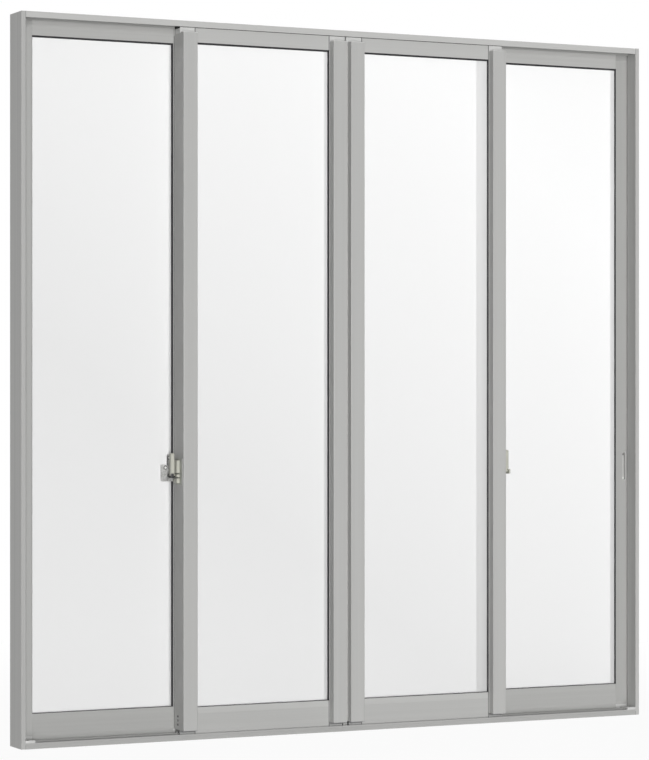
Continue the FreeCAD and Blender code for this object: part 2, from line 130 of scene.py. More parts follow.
# Painted light and shade: the sill darker and the head lighter
FRAME_TONES = (0.85, 1.1)
UPRIGHT_TONES = {
    "end": {"sides": (0.97, 0.96), "painted_pocket_light": POCKET_PAINTED_LIGHT},
    "centre": {"parts": [(GROOVE_BOUNDS, 1.22)]},
}
RAIL_TONES = {
    "end": {
        "tones": (0.99, 1.12), "sides": (0.92, 1.03), "parts": [(BEAD_BOUNDS, 1.02)], "painted_pocket_light": POCKET_PAINTED_LIGHT
    },
    "centre": {"tones": (0.96, 1.06), "parts": [(BEAD_BOUNDS, 1.08)]},
}


# Settings


def colour(name, description, default):
    """Colour property in linear red, green and blue."""
    return FloatVectorProperty(
        name=name, description=description, subtype="COLOR", size=3, min=0.0, max=1.0, default=default
    )


def distance(name, description, default):
    """Length property in metres."""
    return FloatProperty(
        name=name, description=description, subtype="DISTANCE", unit="LENGTH", min=0.0, default=default
    )


def strength(name, description, default):
    """Strength property of a lamp or of the surroundings."""
    return FloatProperty(name=name, description=description, min=0.0, default=default)


class DoorFinishes(bpy.types.PropertyGroup):
    """Colours of the door's materials."""

    frame_colour: colour("Frame", "Satin aluminium of the outer frame", (0.465, 0.465, 0.455))
    # The end panels are the same aluminium as the centre ones; their darker colour is painted shade of their
    # place behind the frame
    end_colour: colour("End panels", "Satin aluminium of the end panels", (0.405, 0.405, 0.395))
    centre_colour: colour("Centre panels", "Satin aluminium of the centre panels", (0.455, 0.455, 0.445))
    gasket_colour: colour("Gaskets", "Black rubber round the glass", (0.012, 0.012, 0.014))
    pile_colour: colour("Top piles", "Woven pile on the panels' tops", (0.03, 0.03, 0.03))
    # Near black: partly the pile's own colour, partly painted shade of the gap between the stiles and in the
    # head's channel
    meeting_pile_and_shade_colour: colour("Meeting piles", "Pile between the panels' stiles", (0.003, 0.003, 0.003))
    cap_colour: colour("Caps", "Moulded plastic of the stile caps and sill stops", (0.58, 0.58, 0.57))
    foot_colour: colour("Feet", "Moulded plastic of the feet under the stiles", (0.34, 0.34, 0.335))
    # Painted shadow of the fins on the tops of the feet
    fin_shadow_colour: colour("Foot necks", "Shaded necks of the feet, next to the stiles", (0.18, 0.18, 0.18))
    plug_colour: colour("Fin plugs", "Plastic of the plugs in the fins' lower ends", (0.30, 0.30, 0.30))
    # The end caps are darker than the other caps as painted shade, and their feet lighter as painted light
    end_cap_shaded_colour: colour("End caps", "Moulded plastic of the end panels' caps", (0.40, 0.40, 0.39))
    end_foot_lit_colour: colour("End feet", "Moulded plastic of the end panels' feet", (0.62, 0.62, 0.61))
    centre_stop_colour: colour("Centre stop", "Plastic of the stop in the sill's middle", (0.40, 0.40, 0.39))
    roller_colour: colour("Rollers", "Moulded plastic of the rollers", (0.12, 0.12, 0.12))
    latch_colour: colour("Latches", "Painted castings of the latch levers and covers", (0.48, 0.48, 0.42))
    plate_colour: colour("Latch plates", "Painted plates under the latches", (0.36, 0.37, 0.33))
    # Also painted shade: the left lever's black under its handle and the pulls' darkened upper screws
    cam_black_and_shade_colour: colour("Cams", "Blackened cams, pins and upper screws of the pulls", (0.02, 0.02, 0.02))
    keeper_colour: colour("Keepers", "Cast keepers", (0.42, 0.42, 0.41))
    # The pulls' paint, made lighter than the stile as painted light against the shade in their recess
    pull_paint_and_light_colour: colour("Finger pulls", "Painted pressings of the finger pulls", (0.45, 0.45, 0.44))
    screw_colour: colour("Screws", "Plated steel of the screws", (0.80, 0.80, 0.78))
    dark_screw_colour: colour("Dark screws", "Blackened steel of the stiles' screws", (0.11, 0.11, 0.11))
    joint_colour: colour("Joints", "Sealant in the butt joints", (0.16, 0.16, 0.16))
    bulb_colour: colour("Bulb seal", "Grey rubber between the centre panels", (0.30, 0.30, 0.30))
    # The glass's pale colour is a painted reflection of a bright studio, dimmest low on the left and
    # brightest high on the right
    painted_reflection_low_colour: colour("Glass, low", "Glass at its dimmest, low on the left", (0.78, 0.78, 0.78))
    painted_reflection_high_colour: colour("Glass, high", "Glass at its brightest, high on the right", (1.0, 1.0, 1.0))


class DoorDetails(bpy.types.PropertyGroup):
    """Sizes of what the solids leave out."""

    edge: distance("Edge", "Width of the small bevel on the extrusions' edges", 0.0006)
    arris: distance("Arris", "Width of the ground edge round the glass", 0.0008)
    lip: distance("Gasket lip", "How far the gasket's lips reach over the sides of the glass", 0.0028)
    low_lip: distance("Bottom lip", "How far the gasket's lip reaches up over the foot of the glass", 0.0002)
    top_lip: distance("Top lip", "How far the gasket's lip reaches down over the top of the glass", 0.0046)
    fold: distance("Gasket fold", "How far the gasket folds over the sides of the centre panels", 0.001)
    low_fold: distance("Bottom fold", "How far the gasket folds over the bottom rails", 0.0012)
    small_fold: distance("Small fold", "How far the gasket folds over the other edges", 0.0002)
    pile_drop: distance("Pile drop", "How far the top piles show below the head's lips", 0.0006)
    pile_gap: distance("Pile gap", "Room between a pile's tips and what slides past them", 0.0004)
    screw_radius: distance("Screw radius", "Radius of the pan head screws", 0.0042)
    screw_height: distance("Screw height", "Height of the pan head screws", 0.0022)


class DoorStage(bpy.types.PropertyGroup):
    """Lamps of the studio."""

    key_strength: strength("Key", "Strength of the tall front lamps", 2.87)
    side_strength: strength("Sides", "Strength of the side lamps", 0.36)
    rear_strength: strength("Rear", "Strength of the rear lamp", 2.2)
    top_strength: strength("Top", "Strength of the overhead lamp", 0.35)
    ambient: strength("Ambient", "Light that comes from all round", 0.02)


# Meshes


def grid_faces(rows, columns, wrap_rows=False, wrap_columns=True):
    """Quads between neighbouring points of a rows by columns grid."""
    row = np.arange(rows if wrap_rows else rows - 1)
    column = np.arange(columns if wrap_columns else columns - 1)
    i, j = (index.ravel() for index in np.meshgrid(row, column, indexing="ij"))
    here, onward = i * columns, (i + 1) % rows * columns
    j_next = (j + 1) % columns
    return np.stack([here + j, onward + j, onward + j_next, here + j_next], axis=1).tolist()


def closed_tube(points):
    """Rings of points, one row each, as a tube with a face over both ends."""
    rows, columns = points.shape[:2]
    faces = grid_faces(rows, columns)
    faces.append(list(range(columns)))
    faces.append(list(range((rows - 1) * columns, rows * columns)))
    return points.reshape(-1, 3), faces


def closed_ring(points):
    """Rings of points, one row each, whose last ring joins the first."""
    return points.reshape(-1, 3), grid_faces(*points.shape[:2], wrap_rows=True)


def around_rectangle(box, profile, others=None):
    """Profile of (inset, Y) points carried round an upright rectangle, mitred at its corners.

    Row k, column j is (x_k + s_k u_j, y_j, z_k + t_k v_j), where (x_k, z_k) is corner k, (s_k, t_k) are the
    signs that point inwards there, (u_j, y_j) is point j of the profile and v_j is u_j. Others are the own
    profiles of the right, the bottom and the top, whose insets take the place of u_j and v_j there.
    """
    x_low, x_high, z_low, z_high = box
    corners = np.array([(x_low, z_low), (x_high, z_low), (x_high, z_high), (x_low, z_high)])
    inward = np.array([(1, 1), (-1, 1), (-1, -1), (1, -1)])
    insets = np.repeat(profile[None, :, :1], 4, axis=0).repeat(2, axis=2)
    if others is not None:
        right, bottom, top = (other[:, 0] for other in others)
        insets[1:3, :, 0] = right
        insets[:2, :, 1] = bottom
        insets[2:, :, 1] = top
    moved = corners[:, None, :] + inward[:, None, :] * insets
    depth = np.broadcast_to(profile[None, :, 1:], moved[..., :1].shape)
    return np.concatenate([moved[..., :1], depth, moved[..., 1:]], axis=2)


def add_piece(name, parts, materials, body, replaces=(), chosen=None):
    """New object from closed surfaces, smooth up to 35 degrees, that rides a body of the frame."""
    points = np.concatenate([part[0] for part in parts])
    starts = np.cumsum([0] + [len(part[0]) for part in parts])
    faces = [[start + index for index in face] for start, part in zip(starts, parts) for face in part[1]]
    mesh = bpy.data.meshes.new(name)
    mesh.from_pydata(points.tolist(), [], faces)
    shape = bmesh.new()
    shape.from_mesh(mesh)
    bmesh.ops.recalc_face_normals(shape, faces=shape.faces)
    shape.to_mesh(mesh)
    shape.free()
    mesh.shade_smooth()
    mesh.set_sharp_from_angle(angle=math.radians(35.0))
    for material in materials:
        mesh.materials.append(material)
    if chosen is not None:
        mesh.polygons.foreach_set("material_index", chosen)
    piece = bpy.data.objects.new(name, mesh)
    bpy.context.scene.collection.objects.link(piece)
    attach(piece, body)
    if replaces:
        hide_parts(*replaces)
    return piece


# Places


def limits(node):
    """Lower and upper corner of a solid as arrays."""
    low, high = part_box(node)
    return np.array(low), np.array(high)


def side_of(node, sign):
    """X of a solid's left side where the sign is negative, and of its right side otherwise."""
    low, high = limits(node)
    return low[0] if sign < 0 else high[0]


def frame_inside():
    """X of the jambs' inner sides, left and right."""
    return side_of("left_jamb", 1.0), side_of("right_jamb", -1.0)


def sight_box(panel):
    """Clear opening between a panel's stiles and rails: x low, x high, z low, z high."""
    top_low, top_high = limits(panel + "_top_rail")
    bottom_high = limits(panel + "_bottom_rail")[1]
    return top_low[0], top_high[0], bottom_high[2], top_low[2]


def hinge_place(side):
    """Middle of a latch lever's hinge."""
    return next(joint for joint in frame["joints"] if joint["name"] == f"{side}_latch_turn")["pos_m"]


def body_of(panel):
    """Body that a panel's fixed pieces ride on."""
    return panel + "_panel"


# Materials


def feed(tree, node, inputs):
    """Set a node's inputs to values, or link them to sockets."""
    for name, value in inputs.items():
        if isinstance(value, bpy.types.NodeSocket):
            tree.links.new(value, node.inputs[name])
        else:
            node.inputs[name].default_value = value


def add_node(tree, kind, inputs=None, **settings):
    """New shader node: settings are its attributes, inputs are values or sockets to link."""
    made = tree.nodes.new(kind)
    for name, value in settings.items():
        setattr(made, name, value)
    feed(tree, made, inputs or {})
    return made


def new_finish(name):
    """New material with its tree and its one Principled shader."""
    material = bpy.data.materials.new(name)
    material.use_nodes = True
    return material, material.node_tree, material.node_tree.nodes["Principled BSDF"]


def object_axis(tree, axis):
    """Object coordinate along one axis."""
    place = add_node(tree, "ShaderNodeTexCoord")
    axes = add_node(tree, "ShaderNodeSeparateXYZ", {"Vector": place.outputs["Object"]})
    return axes.outputs[axis]


def stretched_noise(tree, sizes, detail=3.0):
    """Noise on Object coordinates whose blotches measure about sizes along X, Y and Z."""
    place = add_node(tree, "ShaderNodeTexCoord")
    scale = [1.0 / size for size in sizes]
    mapped = add_node(tree, "ShaderNodeMapping", {"Vector": place.outputs["Object"], "Scale": scale})
    noise = add_node(tree, "ShaderNodeTexNoise", {
        "Vector": mapped.outputs["Vector"], "Scale": 1.0, "Detail": detail
    })
    return noise.outputs["Fac"]


def ranged(tree, value, old, new):
    """Value moved from an old range to a new one and clamped there."""
    moved = add_node(tree, "ShaderNodeMapRange", {
        "Value": value, "From Min": old[0], "From Max": old[1], "To Min": new[0], "To Max": new[1]
    })
    return moved.outputs["Result"]


def maths(tree, operation, *values):
    """One Math node on values or sockets."""
    return add_node(tree, "ShaderNodeMath", dict(enumerate(values)), operation=operation).outputs["Value"]


def scaled(tree, vector, factor):
    """Colour made lighter and darker by a factor."""
    return add_node(
        tree, "ShaderNodeVectorMath", {"Vector": vector, "Scale": factor}, operation="SCALE"
    ).outputs["Vector"]


def blend(tree, factor, *ends):
    """Mix of two colours, each a tuple or a socket."""
    first, second = (end if isinstance(end, bpy.types.NodeSocket) else (*end, 1.0) for end in ends)
    return add_node(tree, "ShaderNodeMix", {0: factor, 6: first, 7: second}, data_type="RGBA").outputs[2]


def bumps(tree, height, amount, depth=0.0001):
    """Normal of a surface whose bumps follow a height, by an amount from 0 to 1 of their depth."""
    bump = add_node(tree, "ShaderNodeBump", {"Height": height, "Strength": amount, "Distance": depth})
    return bump.outputs["Normal"]


def within(tree, bounds):
    """1 where every Object coordinate, X without its sign, lies between its two bounds, and 0 elsewhere."""
    inside = 1.0
    for axis, (low, high) in bounds.items():
        value = object_axis(tree, axis)
        if axis == X_AXIS:
            value = maths(tree, "ABSOLUTE", value)
        near = maths(tree, "COMPARE", value, (low + high) / 2.0, (high - low) / 2.0)
        inside = maths(tree, "MULTIPLY", inside, near)
    return inside


def graded(tree, axis, ends):
    """Factor that changes evenly over the door's whole extent along one axis."""
    return ranged(tree, object_axis(tree, axis), (CAD_BOX[0][axis], CAD_BOX[1][axis]), ends)


def make_aluminium(
    name, base, grain, tones=(1.0, 1.0), sides=(0.96, 1.03), parts=(), painted_pocket_light=None, streak=0.015
):
    """Satin aluminium with fine extrusion lines and broad bands along one axis.

    Streak is the bands' contrast. The tone changes evenly from the bottom to the top by tones and from left
    to right by sides, which is painted light and shade. Parts are bounds with the tone inside them, raised
    there as painted light. Painted pocket light is the tones of the front where it runs behind the sill and
    the head, raised there against the shade.
    """
    material, tree, shader = new_finish(name)
    fine = [0.0011] * 3
    fine[grain] = 0.5
    broad = [0.011] * 3
    broad[grain] = 2.0
    lines = stretched_noise(tree, fine)
    bands = stretched_noise(tree, broad, 1.0)
    factors = [
        ranged(tree, bands, NOISE, (1.0 - streak, 1.0 + streak)),
        graded(tree, Z_AXIS, tones),
        graded(tree, X_AXIS, sides),
    ]
    for bounds, factor in parts:
        factors.append(ranged(tree, within(tree, bounds), (0.0, 1.0), (1.0, factor)))
    if painted_pocket_light is not None:
        factors.append(painted_light_near_sill_and_head(tree, painted_pocket_light))
    tone = ranged(tree, lines, NOISE, (0.97, 1.03))
    for factor in factors:
        tone = maths(tree, "MULTIPLY", tone, factor)
    feed(tree, shader, {
        "Base Color": scaled(tree, base, tone),
        "Roughness": ranged(tree, lines, NOISE, (0.4, 0.5)),
        "Normal": bumps(tree, lines, 0.1),
        "Metallic": 0.1,
        "Specular IOR Level": 0.3,
    })
    return material


def painted_light_near_sill_and_head(tree, painted_pocket_light):
    """Painted light: a factor that grows towards the sill and the head on the rear panels' front, against
    their shade, and is 1 elsewhere.
    """
    height = object_axis(tree, Z_AXIS)
    head = limits("head")[0][2]
    sill_fade = (WATER_BAR[1] + 0.003, WATER_BAR[1] + 0.022)
    head_fade = (head - 0.024, head - 0.002)
    front = within(tree, {Y_AXIS: (-0.01, 0.012)})
    low = ranged(tree, height, sill_fade, (painted_pocket_light[0], 1.0))
    high = ranged(tree, height, head_fade, (1.0, painted_pocket_light[1]))
    more = maths(tree, "SUBTRACT", maths(tree, "MULTIPLY", low, high), 1.0)
    return maths(tree, "MULTIPLY_ADD", front, more, 1.0)


def make_grained(name, base, roughness, metallic=0.0, tints=(), patch=0.03, uneven=0.05):
    """Plastic, rubber or paint with a fine grain and soft patches.

    Tints are colours with the bounds that they fill, patch is the patches' size and uneven is their contrast.
    """
    material, tree, shader = new_finish(name)
    grain, spread = 0.0008, 0.06
    spots = stretched_noise(tree, [grain] * 3)
    patches = stretched_noise(tree, [patch] * 3)
    shade = base
    for tint, bounds in tints:
        shade = blend(tree, within(tree, bounds), shade, tint)
    tone = ranged(tree, patches, NOISE, (1.0 - uneven, 1.0 + uneven))
    feed(tree, shader, {
        "Base Color": scaled(tree, shade, tone),
        "Roughness": ranged(tree, spots, NOISE, (roughness - spread, roughness + spread)),
        "Normal": bumps(tree, spots, 0.15),
        "Metallic": metallic,
    })
    return material


def make_keeper_cast(finishes):
    """Rough casting of the keepers."""
    return make_grained("keeper_cast", finishes.keeper_colour, 0.45, patch=0.006, uneven=0.4)


def make_pile(name, base, sizes):
    """Woven pile: dark and light fibres of these sizes."""
    material, tree, shader = new_finish(name)
    fibres = stretched_noise(tree, sizes, 2.0)
    feed(tree, shader, {
        "Base Color": scaled(tree, base, ranged(tree, fibres, NOISE, (0.5, 1.5))),
        "Normal": bumps(tree, fibres, 0.6, 0.0004),
        "Roughness": 0.9,
    })
    return material


def make_glass(name, low_colour, high_colour, clearness):
    """Glass painted with a pale reflection that brightens upwards and to the right; clearness is what shines
    through.
    """
    material, tree, shader = new_finish(name)
    slant, painted_sheen_range = 0.76, (0.46, 2.3)
    lean = maths(tree, "MULTIPLY_ADD", object_axis(tree, X_AXIS), slant, object_axis(tree, Z_AXIS))
    painted_sheen = ranged(tree, lean, painted_sheen_range, (0.0, 1.0))
    feed(tree, shader, {
        "Base Color": blend(tree, painted_sheen, low_colour, high_colour),
        "Roughness": 0.02,
        "Transmission Weight": clearness,
    })
    return material


def dress(names, material):
    """Give the solids of these nodes one material."""
    for name in names:
        slots = frame["nodes"][name].data.materials
        slots.clear()
        slots.append(material)


def soften(names, width):
    """Join a solid's loose triangles and bevel its sharp edges, by modifiers."""
    for name in names:
        solid = frame["nodes"][name]
        solid.modifiers.new("join", "WELD").merge_threshold = 1e-6
        bevel = solid.modifiers.new("edges", "BEVEL")
        bevel.width = width
        bevel.segments = 2
        bevel.limit_method = "ANGLE"
        bevel.angle_limit = math.radians(40.0)
        bevel.harden_normals = True


# Pieces


class PATIODOOR_OT_extrusions(bpy.types.Operator):
    """Finish the frame, stiles and rails in satin aluminium"""

    bl_idname = "patiodoor.extrusions"
    bl_label = "Aluminium Extrusions"

    def execute(self, context):
        finishes = context.scene.door_finishes
        base = finishes.frame_colour
        # Painted light and shade: the jambs darker on the left than on the right
        jamb = make_aluminium("frame_aluminium_upright", base, Z_AXIS, sides=(0.93, 1.02), streak=0.06)
        dress(JAMBS, jamb)
        dress(LEVELS, make_aluminium("frame_aluminium_level", base, X_AXIS, FRAME_TONES))
        softened = [*JAMBS, *LEVELS]
        for place in PLACES:
            base = getattr(finishes, place + "_colour")
            upright = make_aluminium(place + "_aluminium_upright", base, Z_AXIS, **UPRIGHT_TONES[place])
            level = make_aluminium(place + "_aluminium_level", base, X_AXIS, **RAIL_TONES[place])
            for side in SIDES:
                names = [f"{side}_{place}_{piece}" for piece in UPRIGHTS]
                uprights = [name for name in names if name in frame["nodes"]]
                rails = [f"{side}_{place}_{piece}" for piece in RAILS]
                dress(uprights, upright)
                dress(rails, level)
                softened += uprights + rails
        soften(softened, context.scene.door_details.edge)
        return {"FINISHED"}


class PATIODOOR_OT_glass(bpy.types.Operator):
    """Replace the panes by glass with ground edges and a painted pale reflection on the room side"""

    bl_idname = "patiodoor.glass"
    bl_label = "Glass"

    def execute(self, context):
        finishes = context.scene.door_finishes
        # Painted reflection: the room side's pale colour stands for a bright studio mirrored in the glass,
        # which also veils what lies behind
        pale = (finishes.painted_reflection_low_colour, finishes.painted_reflection_high_colour)
        plain = ((0.95, 0.96, 0.96), (0.97, 0.98, 0.98))
        painted_reflection_glass = make_glass("patio_glass_painted_reflection", *pale, 0.3)
        clear = make_glass("patio_glass", *plain, 1.0)
        for panel in PANELS:
            points, faces = ground_pane(panel, context.scene.door_details.arris)
            # Only the face over the tube's front end, towards the room, carries the painted reflection
            chosen = [1] * len(faces)
            chosen[-2] = 0
            pane = add_piece(
                panel + "_pane", [(points, faces)], (painted_reflection_glass, clear), body_of(panel),
                (panel + "_glass",), chosen,
            )
            pane.visible_diffuse = False
            pane.visible_shadow = False
        return {"FINISHED"}


def ground_pane(panel, arris):
    """Pane as a tube from its front to its rear, whose first and last rings are inset by the arris."""
    low, high = limits(panel + "_glass")
    profile = np.array([
        (arris, low[1]), (0.0, low[1] + arris), (0.0, high[1] - arris), (arris, high[1])
    ])
    return closed_tube(around_rectangle((low[0], high[0], low[2], high[2]), profile).transpose(1, 0, 2))


class PATIODOOR_OT_gaskets(bpy.types.Operator):
    """Replace the gaskets by channels with rounded lips on both sides of the glass"""

    bl_idname = "patiodoor.gaskets"
    bl_label = "Glazing Gaskets"

    def execute(self, context):
        rubber = make_grained("gasket_rubber", context.scene.door_finishes.gasket_colour, 0.6)
        for panel in PANELS:
            channel = gasket_channel(panel, context.scene.door_details)
            add_piece(
                panel + "_seal", [channel], (rubber,), body_of(panel), (panel + "_gasket",)
            )
        return {"FINISHED"}


def gasket_channel(panel, details):
    """Channel round a pane, with lips of their own depth at each side, the bottom and the top."""
    sight = sight_box(panel)
    fold = details.fold if "centre" in panel else details.small_fold
    lips = [share * details.lip for share in LIP_SHARES[panel]]
    left, right = (channel_profile(panel, sight, lip, fold) for lip in lips)
    bottom = channel_profile(panel, sight, details.low_lip, details.low_fold)
    top = channel_profile(panel, sight, details.top_lip, details.small_fold)
    return closed_ring(around_rectangle(sight, left, (right, bottom, top)))


def channel_profile(panel, sight, lip, fold):
    """Section of a channel, inset and Y, from its bed over the aluminium to the glass and back.

    It lines the aluminium's edge and folds over it on the room side. Then a lip lies on the glass:
    u = a + b sin t, y = c - d cos t, with t from 0 to 90 degrees.
    """
    gasket_low, gasket_high = limits(panel + "_gasket")
    glass_low, glass_high = limits(panel + "_glass")
    rail_low, rail_high = limits(panel + "_top_rail")
    bed = gasket_low[0] - sight[0]
    glass_edge = glass_low[0] - sight[0]
    start, skin, thickness, least = 0.0003, 0.0001, 0.0024, 0.0006
    front, rear = rail_low[1], rail_high[1]
    folded, proud = skin - fold, front - 0.0003
    turn = np.linspace(0.0, math.pi / 2.0, 8)
    over = start + lip * np.sin(turn)
    height = least + thickness * np.cos(turn)
    front_lip = np.stack([over, glass_low[1] - height], axis=1)
    rear_lip = np.stack([over, glass_high[1] + height], axis=1)[::-1]
    tip = start + lip * 0.85
    return np.concatenate([
        [(bed, gasket_low[1]), (skin, gasket_low[1]), (skin, front)],
        [(folded, front), (folded, proud), (start, proud)],
        front_lip,
        [(tip, glass_low[1]), (glass_edge, glass_low[1]), (glass_edge, glass_high[1]), (tip, glass_high[1])],
        rear_lip,
        [(start, rear), (skin, rear), (skin, gasket_high[1]), (bed, gasket_high[1])],
    ])


class PATIODOOR_OT_piles(bpy.types.Operator):
    """Add the pile strips on the panels' tops and meeting stiles, and the dust blocks beside them"""

    bl_idname = "patiodoor.piles"
    bl_label = "Pile Strips"

    def execute(self, context):
        finishes = context.scene.door_finishes
        details = context.scene.door_details
        hanging = make_pile("pile_hanging", finishes.pile_colour, (0.0005, 0.0005, 0.01))
        # Near-black pile: partly its own colour, partly painted shade in the gaps it fills
        reaching = make_pile("pile_reaching", finishes.meeting_pile_and_shade_colour, (0.0005, 0.01, 0.0005))
        for panel in PANELS:
            strips = top_piles(panel, details)
            add_piece(panel + "_top_pile", strips, (hanging,), body_of(panel))
        for side, sign in SIDES.items():
            parts = meeting_piles(side, sign, details.pile_gap)
            add_piece(f"{side}_meeting_pile", parts, (reaching,), f"{side}_centre_panel")
        return {"FINISHED"}


def top_piles(panel, details):
    """Strips before and behind a panel's top, of which the outer one shows below the head's lip."""
    head_low, head_high = limits("head")
    low, high = limits(panel + "_top_rail")
    caps_low, caps_high = limits(panel + "_stile_caps")
    root = head_low[2] + 0.006
    shown = (head_low[2] - details.pile_drop, root)
    hidden = (head_low[2] + 0.0014, root)
    if "centre" in panel:
        channel, heights = (head_low[1] + WALL, -WALL / 2.0), (shown, hidden)
    else:
        channel, heights = (WALL / 2.0, head_high[1] - WALL), (hidden, shown)
    front = (channel[0] + details.pile_gap, low[1])
    rear = (high[1], channel[1] - details.pile_gap)
    ends = (caps_low[0], caps_high[0])
    return [hanging_pile(ends, ys, zs) for ys, zs in zip((front, rear), heights)]


def meeting_piles(side, sign, gap):
    """Strip behind a meeting stile, towards the end panel, and the dust block on the cap's outer side."""
    stile = f"{side}_centre_meeting_stile"
    low, high = limits(stile)
    outer = side_of(stile, sign)
    near, far, end_room = 0.001, 0.006, 0.004
    xs = sorted((outer - sign * near, outer - sign * far))
    ys = (high[1], limits("left_end_top_rail")[0][1] - gap)
    strip = reaching_pile(xs, ys, (low[2] + end_room, high[2] - end_room))
    block_ys, block_zs = (-0.0425, -0.004), (high[2] + 0.0155, high[2] + 0.024)
    return [strip, dust_block(outer, sign, block_ys, block_zs)]


def pile_tips(along):
    """Uneven tips of a pile: a sum of sines with no common period."""
    waves = np.sin(along * 1900.0) + np.sin(along * 3170.0 + 1.0) + 0.7 * np.sin(along * 611.0 + 2.0)
    return TIP_DEPTH * waves / 2.7


def pile_outline(across, root, tips):
    """Section of a pile as six lines: up one flank from the root, over the narrower tips and back."""
    narrow = 0.2 * (across[1] - across[0])
    roots = np.full_like(tips, root)
    flank = tips + math.copysign(0.0008, root - tips[0])
    return [
        (across[0], roots), (across[0], flank), (across[0] + narrow, tips),
        (across[1] - narrow, tips), (across[1], flank), (across[1], roots),
    ]


def hanging_pile(ends, ys, heights):
    """Pile strip along X: each ring is (x, y_j, z_j), with the tips z(x) at the bottom."""
    x = np.linspace(*ends, 1000)
    outline = pile_outline(ys, heights[1], heights[0] + pile_tips(x))
    return closed_tube(np.stack([np.stack([x, np.full_like(x, y), z], axis=1) for y, z in outline], axis=1))


def reaching_pile(xs, ys, zs):
    """Pile strip along Z: each ring is (x_j, y_j, z), with the tips y(z) at the rear."""
    z = np.linspace(*zs, 1400)
    outline = pile_outline(xs, ys[0], ys[1] - TIP_DEPTH + pile_tips(z))
    return closed_tube(np.stack([np.stack([np.full_like(z, x), y, z], axis=1) for x, y in outline], axis=1))


def dust_block(outer, sign, ys, zs):
    """Tuft on a stile's outer side, near black, which stands partly for painted shade in the head's channel
    there.

    Its front is x = outer + sign t (1 - u^8)(1 - v^8), with u and v from -1 to 1 over ys and zs.
    """
    thickness, seat = 0.0027, 0.0002
    u, v = np.meshgrid(np.linspace(-1.0, 1.0, 120), np.linspace(-1.0, 1.0, 24), indexing="ij")
    y = np.interp(u, (-1.0, 1.0), ys)
    z = np.interp(v, (-1.0, 1.0), zs)
    swell = (1.0 - u ** 8) * (1.0 - v ** 8)
    x = outer + sign * swell * (thickness + pile_tips(y + 3.0 * z))
    front = np.stack([x, y, z], axis=2).reshape(-1, 3)
    rear = np.stack([np.full_like(x, outer - sign * seat), y, z], axis=2).reshape(-1, 3)
    faces = np.array(grid_faces(*u.shape, wrap_columns=False))
    index = np.arange(u.size).reshape(u.shape)
    rim = np.concatenate([index[:-1, 0], index[-1, :-1], index[:0:-1, -1], index[0, :0:-1]])
    onward = np.roll(rim, -1)
    sides = np.stack([rim, onward, onward + u.size, rim + u.size], axis=1)
    return np.concatenate([front, rear]), np.concatenate([faces, faces[:, ::-1] + u.size, sides]).tolist()


class PATIODOOR_OT_seals(bpy.types.Operator):
    """Add the bulb seal between the centre panels, the sealant in the butt joints and the sill's water bar"""

    bl_idname = "patiodoor.seals"
    bl_label = "Seals and Water Bar"

    def execute(self, context):
        finishes = context.scene.door_finishes
        rubber = make_grained("bulb_rubber", finishes.bulb_colour, 0.6)
        sealant = make_grained("joint_sealant", finishes.joint_colour, 0.7)
        aluminium = make_aluminium("water_bar_aluminium", finishes.frame_colour, X_AXIS, FRAME_TONES)
        add_piece("centre_bulb_seal", [bulb_seal()], (rubber,), "left_centre_panel")
        add_piece("frame_joints", frame_joints(), (sealant,), "frame")
        for side in SIDES:
            beads = rail_joints(side)
            add_piece(f"{side}_rail_joints", beads, (sealant,), f"{side}_centre_panel")
        add_piece("sill_water_bar", [water_bar()], (aluminium,), "frame")
        return {"FINISHED"}


def bulb_seal():
    """Bulb on the left middle stile's inner side, just behind the fins."""
    low, high = limits("left_centre_middle_stile")
    setback, radii = 0.004, (0.0046, 0.003)
    return bead((high[0], low[1] + FIN_DEPTH + setback), radii, (low[2], high[2]), 0.0)


def frame_joints():
    """Sealant on the frame's front, where the jambs meet the head and the sill."""
    head_low, head_high = limits("head")
    sill_top = limits("sill")[1][2] - TRACK_RISE
    spans = ((head_low[2], head_high[2]), (0.0, sill_top))
    radii = (0.0003, 0.0006)
    return [bead((x, head_low[1]), radii, zs, ROOM_SIDE) for x in frame_inside() for zs in spans]


def rail_joints(side):
    """Sealant on a centre panel's front, at both ends of both rails."""
    beads, radii = [], (0.0003, 0.0016)
    for rail in RAILS:
        low, high = limits(f"{side}_centre_{rail}")
        beads += [bead((x, low[1]), radii, (low[2], high[2]), ROOM_SIDE) for x in (low[0], high[0])]
    return beads


def water_bar():
    """Thin upstand along X at the sill's front.

    Its section is a strip with a half-round top, y = c - r cos t, z = top + r sin t.
    """
    front = limits("head")[0][1]
    foot, top = WATER_BAR
    half = 0.0008
    turn = np.linspace(0.0, math.pi, 9)
    y = np.concatenate([front + half - half * np.cos(turn), [front + 2.0 * half, front]])
    z = np.concatenate([top - half + half * np.sin(turn), [foot, foot]])
    return closed_tube(np.stack([np.stack([np.full_like(y, x), y, z], axis=1) for x in frame_inside()]))


def bead(place, radii, zs, facing):
    """Half-round bead along Z: a cos t out of its seat and b sin t along it, t from -90 to 90 degrees."""
    turn = np.linspace(-math.pi / 2.0, math.pi / 2.0, 13)
    out, along = radii[0] * np.cos(turn), radii[1] * np.sin(turn)
    x = place[0] + out * math.cos(facing) - along * math.sin(facing)
    y = place[1] + out * math.sin(facing) + along * math.cos(facing)
    return closed_tube(np.stack([np.stack([x, y, np.full_like(x, z)], axis=1) for z in zs]))


